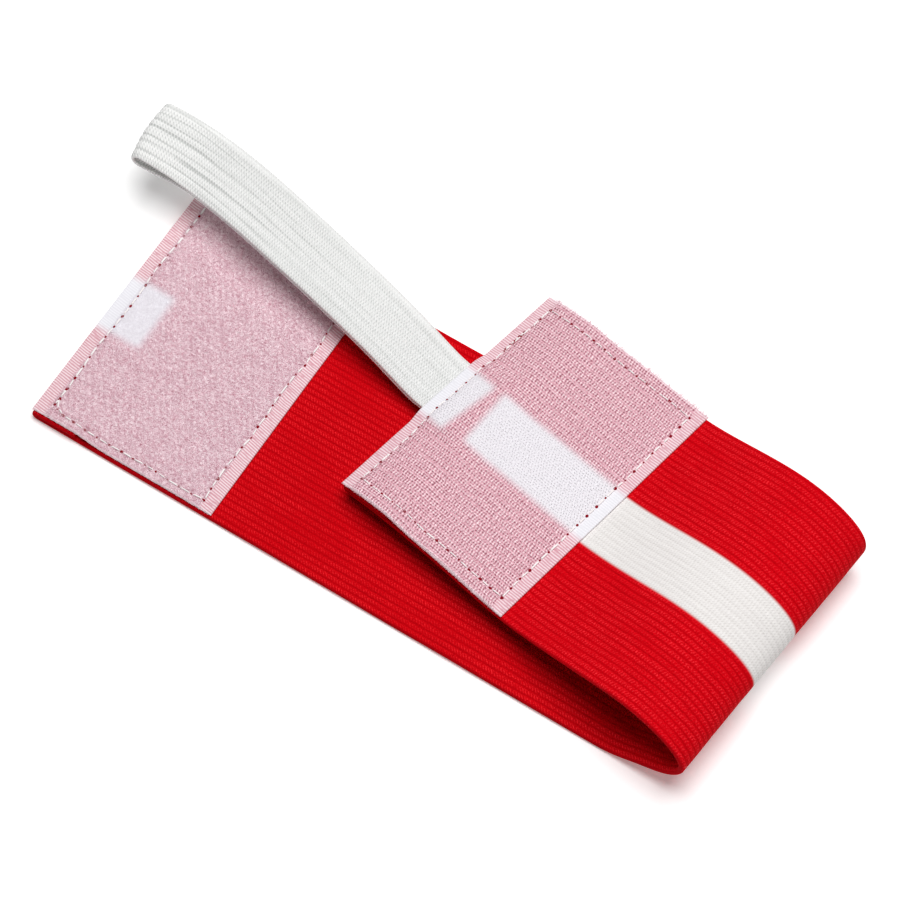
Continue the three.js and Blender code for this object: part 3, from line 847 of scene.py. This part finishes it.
pileStrand = strandMaterial("pileStrand", loopWindow, pile["colours"])
hookStrand = strandMaterial("hookStrand", hookWindow, hooks["colours"])
pilePiece = fibreMesh("loop_tape_pile", pileStrands(), pile["radius"], pileStrand, "loop_tape", (0.8, 0.8))
hooksPiece = fibreMesh("hook_tape_hooks", hookStrands(), hooks["radius"], hookStrand, "hook_tape")
fringeRandom = np.random.default_rng(fringe["seed"])
loopEnds = cutFringe(loop, loopLevel, fringeRandom, pile["fringe"])
hookEnds = cutFringe(hook, hookLevel, fringeRandom, hooks["fringe"])
loopFringe = fibreMesh("loop_tape_fringe", loopEnds, fringe["radius"], pileStrand, "loop_tape")
hookFringe = fibreMesh("hook_tape_fringe", hookEnds, fringe["radius"], hookStrand, "hook_tape")
print("stage: pile, hooks and fringes")


def threadMaterial():
    material, tree, shader, along, across = clothMaterial("sewingThread", 0.6, 0.3)
    twist = (along * 2.2 + across).wave()
    shade = (twist * 0.7 + noise(along, across, 4.0, 1.0, 17.0) * 0.5).clamped()
    dress(tree, shader, shaded(shade, stitching["thread"]), twist, 0.00003)
    return material


def holeMaterial():
    material, tree, shader, along, across = clothMaterial("needleHole", 0.9, 0.1)
    speck = noise(along, across, 3.0, 3.0, 18.0)
    dress(tree, shader, shaded(speck, stitching["hole"]), speck, 0.0001)
    return material


# Stitches as short tubes that dip into a hole at each end, and the holes as small pits in the band's red, darkened
# with painted shade
def stitchPiece(name, tape, level, underLift):
    vertices, faces, kinds, flat = [], [], [], []

    def addRings(points, rings, sides, kind):
        first = sum(len(v) for v in vertices)
        vertices.append(points)
        faces.extend(ringFaces(first + np.arange(rings * sides).reshape(rings, sides)).tolist())
        kinds.extend([kind] * (rings - 1) * sides)
        return first

    def tube(a, b, lift, sign, radius, offset, short):
        rings, sides = 13, 8
        length = math.dist(a, b)
        share = np.linspace(0, 1, rings)
        inset = short / length
        reach = inset + (1 - 2 * inset) * share
        along, across = a[0] + (b[0] - a[0]) * reach, a[1] + (b[1] - a[1]) * reach
        arch = np.minimum(1, np.sin(share * math.pi) * 2.6)
        seatLift = lift(along, across)
        line = bandPoint(along, across, seatLift + sign * (-0.25 + 0.47 * arch))
        tangent = unit(np.gradient(line, axis=0))
        up = bandPoint(along, across, seatLift + sign) - bandPoint(along, across, seatLift)
        side = unit(np.cross(tangent, up))
        normal = np.cross(side, tangent)
        angles = np.linspace(0, 2 * math.pi, sides + 1)[:-1]
        wide = np.cos(angles)[None, :, None] * side[:, None] * 1.25
        high = np.sin(angles)[None, :, None] * normal[:, None] * 0.8
        addRings((line[:, None] + radius * (wide + high)).reshape(-1, 3), rings, sides, 0)
        flat.append(np.stack(np.broadcast_arrays(
            (share * length + offset)[:, None], (angles / (2 * math.pi))[None]), -1).reshape(-1, 2))

    def pit(at, direction, lift, sign, size):
        sides = 12
        angles = np.linspace(0, 2 * math.pi, sides + 1)[:-1]
        rings = []
        for radius, height in ((1.0, 0.0), (0.85, 0.1), (0.3, 0.09)):
            ahead, beside = np.cos(angles) * 1.1, np.sin(angles) * 0.9
            along = at[0] + size * radius * (ahead * direction[0] - beside * direction[1])
            across = at[1] + size * radius * (ahead * direction[1] + beside * direction[0])
            rings.append(bandPoint(along, across, lift(along, across) + sign * height))
            flat.append(np.stack([along, across], -1))
        last = addRings(np.concatenate(rings), len(rings), sides, 1) + 2 * sides
        floor = [[last + j, last + j + 1, last + 10 - j, last + 11 - j] for j in range(5)]
        faces.extend(floor)
        kinds.extend([1] * len(floor))

    def top(along, across):
        depth = tapeDepth(tape, along) - stitching["groove"]
        return level(along, across, depth) + unevenness(along, across)

    def bottom(along, across):
        return underLift + unevenness(along, across)

    outward = 1 if level(tape["start"] + 5, 0, 0) > 0 else -1
    random = np.random.default_rng(stitching["seed"])
    for line in stitchLines(tape):
        spread = np.linalg.norm(line[-1] - line[0])
        direction = (line[-1] - line[0]) / spread
        sway = tape["sway"] * np.sin(np.arange(len(line)) * 0.8)
        jitter = [p + random.normal(0, 0.1, 2) + (k * direction[1], k * direction[0]) for p, k in zip(line, sway)]
        thick = stitching["radius"] * (1 if abs(direction[1]) > 0.5 else 0.75)
        for i, (a, b) in enumerate(zip(jitter[:-1], jitter[1:])):
            short = random.uniform(*stitching["reach"])
            tube(a, b, top, outward, thick * random.uniform(0.75, 1.1), i * 1.7, short)
            tube(a, b, bottom, -outward, stitching["radius"], i * 2.3, stitching["reach"][0])
        holeRadius = stitching["holeRadius"] * (1 if spread > 20 else 1.5)  # back stitches open wider holes
        for p in jitter:
            pit(p, direction, top, outward, holeRadius * random.uniform(0.6, 1.3))
    corner = np.concatenate(vertices) / 1000
    piece = makeMesh(name, corner, np.array(faces), [threadMaterial(), holeMaterial()], kinds, np.concatenate(flat))
    return keep(piece, "white_elastic")


bandHalf = band["thickness"] / 2
loopStitches = stitchPiece("loop_stitches", loop, loopLevel, -bandHalf + stitching["loopUnder"])
hookStitches = stitchPiece("hook_stitches", hook, hookLevel, bandHalf - stitching["hookUnder"])
print("stage: stitches")


# The doubled elastic as one ribbon: lower layer, turn, upper layer; the course is the upper layer's
def elasticRibbon():
    rootAlong = hook["end"]
    hemFace = band["thickness"] / 2 + band["hemExtra"] - hook["tailPress"]
    rootLift = -(hemFace + gap + 1.5 * hook["tailThickness"] + hook["tailSlit"])
    root = bandPoint(rootAlong, elastic["offset"], rootLift)
    inside = bandPoint(rootAlong - hook["tailLength"], elastic["offset"], rootLift)
    tailAcross = unit(bandPoint(rootAlong, elastic["offset"] + 1, rootLift) - root)
    tail = np.linspace(-hook["tailLength"], 0, 12)
    steps = 150
    step = elastic["length"] / steps
    share = np.arange(1, steps + 1) / steps
    heading = np.radians(smoothValue(elastic["course"], 1, share - 0.5 / steps))
    turned = np.radians(smoothValue(elastic["course"], 1, share))
    roll = np.radians(smoothValue(elastic["course"], 3, share))
    rise = smoothValue(elastic["course"], 2, share) * elastic["rise"]
    climb = np.diff(np.concatenate([[0], rise]))
    level = np.sqrt(step ** 2 - climb ** 2)
    path = root + np.stack([np.cumsum(np.cos(heading) * level), np.cumsum(np.sin(heading) * level), rise], -1)
    points = np.concatenate([root + (inside - root) * (-tail[:, None] / hook["tailLength"]), path])
    free = np.stack([np.sin(turned) * np.cos(roll), -np.cos(turned) * np.cos(roll), np.sin(roll)], -1)
    across = np.concatenate([np.tile(tailAcross, (len(tail), 1)), free])
    length = np.concatenate([tail, share * elastic["length"]])
    thickness = hook["tailThickness"] + (elastic["thickness"] - hook["tailThickness"]) * ramp(length, 0, 6)
    toTurn = elastic["length"] - length
    closed = thickness + hook["tailSlit"]
    parting = 1 - ramp(toTurn, elastic["turnReach"], elastic["turnOpening"])
    apart = closed + (2 * elastic["turnRadius"] - closed) * parting
    bulge = elastic["turnBulge"] * (1 - ramp(toTurn, 0, elastic["bulgeRun"]))
    forward = unit(np.gradient(points, axis=0))
    down = unit(np.cross(forward, across))
    angles = np.linspace(0, math.pi, 25)[1:-1, None]
    radius = elastic["turnRadius"]
    turn = points[-1] + (1 + np.cos(angles)) * down[-1] * radius + np.sin(angles) * forward[-1] * radius
    sideways = elastic["lowerSideways"] * ramp(length, -2, 4) * (1 - parting)
    lower = points + down * apart[:, None] + across * sideways[:, None]
    middle = np.concatenate([lower, turn, points[::-1]])

    def allRound(values):
        return np.concatenate([values, np.repeat(values[-1:], len(turn), 0), values[::-1]])

    acrossAll, thickAll, bulgeAll, forwardAll = map(allRound, (across, thickness, bulge, forward))
    normal = unit(np.cross(np.gradient(middle, axis=0), acrossAll))
    run = np.concatenate([[0], np.cumsum(np.linalg.norm(np.diff(middle, axis=0), axis=1))])
    waves = allRound(0.35 + 0.65 * (1 - ramp(toTurn, 0, 60))) * allRound(ramp(length, -1, 6))
    return middle, acrossAll, thickAll, normal, run, forwardAll * bulgeAll[:, None], waves


def elasticMaterial(ribbonRun):
    material, tree, shader, along, across = clothMaterial(
        "knittedElastic", 0.85, 0.1, Subsurface_Weight=0.5,
        Subsurface_Radius=(0.003, 0.003, 0.003), Subsurface_Scale=1.0)
    knit = useGroup(knitRows, along, across, Row=elastic["row"], Loop=elastic["loop"])
    fromTurn = (along - ribbonRun[-1] / 2).size()
    # painted shade in the grooves: grey lines along the ribbon, strongest near the turn and patchy
    lines = (across / 2.1 + noise(along, across, 0.03, 0.25, 23.0) * 1.6).wave()
    patches = noise(along, across, 0.05, 0.6, 24.0).ramp(0.3, 0.6)
    lines = lines.ramp(0.55, 1.0) * (1.6 - fromTurn.ramp(5.0, 70.0) * 1.2) * patches
    plain = across.ramp(6.3, 7.0) * 0.6  # the far selvage is smooth, without knit hollows; the thin grey line it ends in is painted shade
    # painted shade: a thin grey line along the far edge, where the rounded edge turns away from the light, and a
    # slight darkening towards the near side
    shade = knit["Shade"] * (1 - plain) + plain - across.ramp(7.4, 7.8) * 0.3 - (across * -1).ramp(4.0, 8.2) * 0.1
    colour = shaded((shade - lines * 0.34).clamped(), elastic["whites"])
    dress(tree, shader, colour, knit["Height"], 0.0001)
    return material


ribbon, ribbonAcross, ribbonThickness, ribbonNormal, ribbonRun, ribbonBulge, ribbonWaves = elasticRibbon()
# +1 where the ribbon's normals point out of the loop
ribbonSide = float(np.sign(np.dot(ribbonNormal[len(ribbon) // 2], ribbon[len(ribbon) // 2] - ribbon[0])))


def elasticPlace(row, across, side):
    i = row.astype(int)
    half = elastic["width"] / 2
    thin = ribbonThickness[i] / 2 * fullness(half - np.abs(across), elastic["thickness"] / 2)
    groove = sum(np.exp(-((across - middle) / 0.55) ** 2) for middle in elastic["grooves"])
    sink = elastic["grooveDepth"] * groove * ribbonWaves[i]
    out = ribbonBulge[i] * (1 - (across / half) ** 2)[..., None]
    lift = side * thin - ribbonSide * sink
    return ribbon[i] + ribbonAcross[i] * across[..., None] + ribbonNormal[i] * lift[..., None] + out


elasticPiece = sheetMesh(
    "elastic_ribbon", np.arange(len(ribbon)),
    stations(-elastic["width"] / 2, elastic["width"] / 2, 0.25, elastic["thickness"] / 2),
    elasticPlace, [elasticMaterial(ribbonRun)], lambda r, c: (ribbonRun[r.astype(int)], c),
)
keep(elasticPiece, "white_elastic", "elastic_loop")
print("stage: elastic loop")


stage = {
    "tableHalf": 3, "tableDrop": 0.00003, "tableShade": 0.95, "tableGlow": 0.2, "worldStrength": 0.12,
    "lampSize": 0.85, "lampPower": 13.8, "lampPlace": (0.06, 0.15, 1.1),
}


# Table and light
def addStage():
    mesh = bpy.data.meshes.new("table")
    reach = stage["tableHalf"]
    corners = [(x * reach, y * reach, -stage["tableDrop"]) for x, y in ((-1, -1), (1, -1), (1, 1), (-1, 1))]
    mesh.from_pydata(corners, [], [(0, 1, 2, 3)])
    material = bpy.data.materials.new("tableTop")
    material.use_nodes = True
    shader = material.node_tree.nodes["Principled BSDF"]
    shader.inputs["Base Color"].default_value = (*[stage["tableShade"]] * 3, 1)
    shader.inputs["Roughness"].default_value = 1.0
    shader.inputs["Specular IOR Level"].default_value = 0.0
    shader.inputs["Emission Color"].default_value = (1, 1, 1, 1)
    shader.inputs["Emission Strength"].default_value = stage["tableGlow"]
    mesh.materials.append(material)
    table = bpy.data.objects.new("table", mesh)
    scene.collection.objects.link(table)
    world = bpy.data.worlds.new("studio")
    world.use_nodes = True
    background = world.node_tree.nodes["Background"]
    background.inputs["Color"].default_value = (1, 1, 1, 1)
    background.inputs["Strength"].default_value = stage["worldStrength"]
    scene.world = world
    light = bpy.data.lights.new("softLight", "AREA")
    light.shape, light.size, light.energy = "DISK", stage["lampSize"], stage["lampPower"]
    lamp = bpy.data.objects.new("softLight", light)
    lamp.location = stage["lampPlace"]
    lamp.rotation_mode = "QUATERNION"
    lamp.rotation_quaternion = (-Vector(lamp.location)).to_track_quat("-Z", "Y")
    scene.collection.objects.link(lamp)


addStage()
print("stage: table and light")
